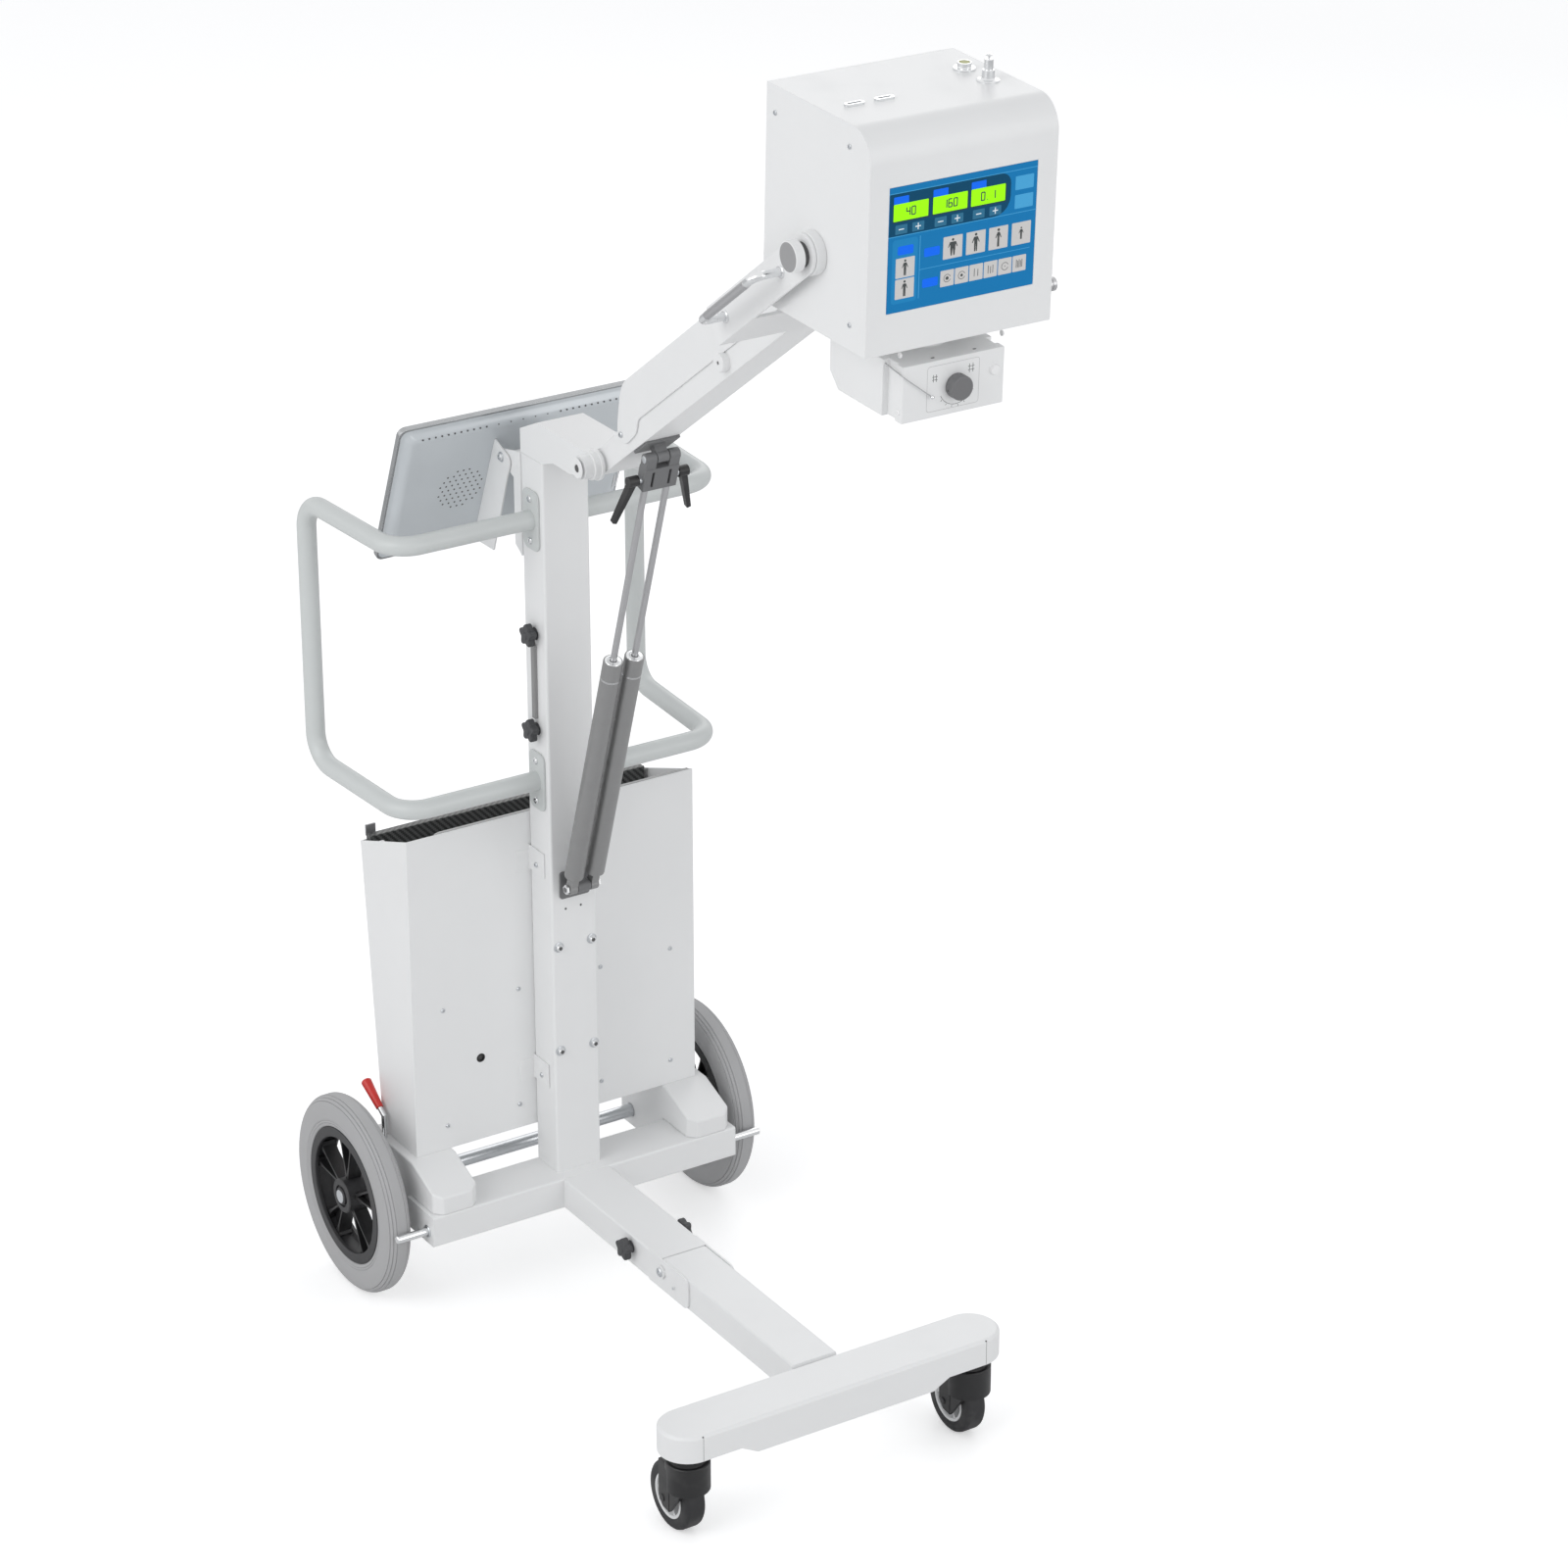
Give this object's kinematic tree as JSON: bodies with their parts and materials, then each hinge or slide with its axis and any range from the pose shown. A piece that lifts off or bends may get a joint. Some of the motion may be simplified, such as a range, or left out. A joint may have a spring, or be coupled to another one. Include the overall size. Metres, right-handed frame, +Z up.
{
  "type": "portable x-ray machine",
  "caption": "Portable x-ray machine: wheeled stand with a folding front leg, push handles, detector bin, sprung arm, tilting head with collimator, and a monitor.",
  "frame": {"origin": "on the floor, under the middle of the machine's overall box", "axes": "+X forwards, towards the casters and the screen; +Y to the left of someone who pushes it; +Z up"},
  "size_m": [1.2553, 0.634, 2.0486],
  "materials": {
    "white_paint": "satin",
    "handle_paint": "satin",
    "grey_casting": "matt",
    "zinc_steel": "satin",
    "chrome": "polished",
    "black_plastic": "moulded",
    "dark_grey_plastic": "moulded",
    "grey_tyre": "matt",
    "black_tyre": "matt",
    "pale_plastic": "moulded",
    "red_plastic": "moulded",
    "carbon_panel": "woven",
    "cylinder_grey": "satin",
    "screen_glass": "glossy",
    "monitor_grey": "satin",
    "monitor_glass": "glossy"
  },
  "bodies": {
    "stand": {"rear_beam": "white_paint", "leg_rear": "white_paint", "column": "white_paint", "column_head": "white_paint", "wheel_carriers": "white_paint", "rear_axle": "zinc_steel", "brake_rod": "chrome", "brake_lever": "chrome", "brake_grip": "red_plastic", "leg_knobs": "dark_grey_plastic", "rail_knobs": "dark_grey_plastic", "bin_tray": "white_paint", "bin_tabs": "white_paint", "detector": "carbon_panel", "handle_left": "handle_paint", "handle_right": "handle_paint", "spring_base": "grey_casting", "monitor_bracket": "white_paint"},
    "front_leg": {"leg_front": "white_paint", "front_bar": "white_paint", "caster_plates": "zinc_steel"},
    "caster_left_swivel": {"caster_left_fork": "black_plastic"},
    "caster_left_wheel": {"caster_left_hub": "pale_plastic", "caster_left_tyre": "black_tyre"},
    "caster_right_swivel": {"caster_right_fork": "black_plastic"},
    "caster_right_wheel": {"caster_right_hub": "pale_plastic", "caster_right_tyre": "black_tyre"},
    "rear_wheel_left": {"tyre_left": "grey_tyre", "wheel_left": "black_plastic"},
    "rear_wheel_right": {"tyre_right": "grey_tyre", "wheel_right": "black_plastic"},
    "arm": {"arm_beam": "white_paint", "arm_cover": "white_paint", "yoke": "white_paint", "yoke_grip": "chrome", "spring_clevis": "grey_casting"},
    "spring_lower": {"spring_cylinders": "cylinder_grey"},
    "spring_upper": {"spring_rods": "chrome", "spring_block": "grey_casting", "clamp_levers": "black_plastic"},
    "head": {"head_shell": "white_paint", "head_screen": "screen_glass", "tilt_pivots": "white_paint", "head_fittings": "chrome"},
    "collimator_unit": {"collimator": "white_paint", "collimator_dial": "dark_grey_plastic"},
    "monitor": {"monitor_case": "monitor_grey", "monitor_screen": "monitor_glass", "monitor_ears": "white_paint"}
  },
  "joints": [
    {"name": "rear_wheel_left_roll", "type": "hinge", "parent": "stand", "child": "rear_wheel_left", "pos_m": [-0.47765, 0.293, 0.15], "axis": [0, 1, 0], "continuous": true},
    {"name": "rear_wheel_right_roll", "type": "hinge", "parent": "stand", "child": "rear_wheel_right", "pos_m": [-0.47765, -0.293, 0.15], "axis": [0, 1, 0], "continuous": true},
    {"name": "leg_fold", "type": "hinge", "parent": "stand", "child": "front_leg", "pos_m": [-0.02565, 0, 0.16], "axis": [0, 1, 0], "range_deg": [0, 90]},
    {"name": "caster_left_swivel_turn", "type": "hinge", "parent": "front_leg", "child": "caster_left_swivel", "pos_m": [0.35335, 0.2285, 0.135], "axis": [0, 0, 1], "continuous": true},
    {"name": "caster_left_roll", "type": "hinge", "parent": "caster_left_swivel", "child": "caster_left_wheel", "pos_m": [0.32635, 0.2285, 0.05], "axis": [0, 1, 0], "continuous": true},
    {"name": "caster_right_swivel_turn", "type": "hinge", "parent": "front_leg", "child": "caster_right_swivel", "pos_m": [0.35335, -0.2285, 0.135], "axis": [0, 0, 1], "continuous": true},
    {"name": "caster_right_roll", "type": "hinge", "parent": "caster_right_swivel", "child": "caster_right_wheel", "pos_m": [0.32635, -0.2285, 0.05], "axis": [0, 1, 0], "continuous": true},
    {"name": "arm_lift", "type": "hinge", "parent": "stand", "child": "arm", "pos_m": [-0.18065, 0, 1.33], "axis": [0, -1, 0], "range_deg": [-50, 12]},
    {"name": "spring_tilt", "type": "hinge", "parent": "stand", "child": "spring_lower", "pos_m": [-0.30065, 0, 0.645], "axis": [0, -1, 0], "range_deg": [-3.7, 1.6]},
    {"name": "spring_slide", "type": "slide", "parent": "spring_lower", "child": "spring_upper", "axis": [0.3055, 0, 0.9522], "range_m": [-0.0977, 0.0257]},
    {"name": "head_tilt", "type": "hinge", "parent": "arm", "child": "head", "pos_m": [0.51043, 0, 1.83765], "axis": [0, -1, 0], "range_deg": [-15, 65]},
    {"name": "collimator_turn", "type": "hinge", "parent": "head", "child": "collimator_unit", "pos_m": [0.53666, 0, 1.73907], "axis": [0.0384, 0, 0.9993], "range_deg": [-90, 90]},
    {"name": "monitor_tilt", "type": "hinge", "parent": "stand", "child": "monitor", "pos_m": [-0.42915, 0, 1.263], "axis": [0, 1, 0], "range_deg": [-15, 15]}
  ],
  "couplings": [
    {"joint": "spring_tilt", "follows": "arm_lift", "ratio": 0.0535},
    {"joint": "spring_slide", "follows": "arm_lift", "m_per_rad": 0.1085}
  ]
}
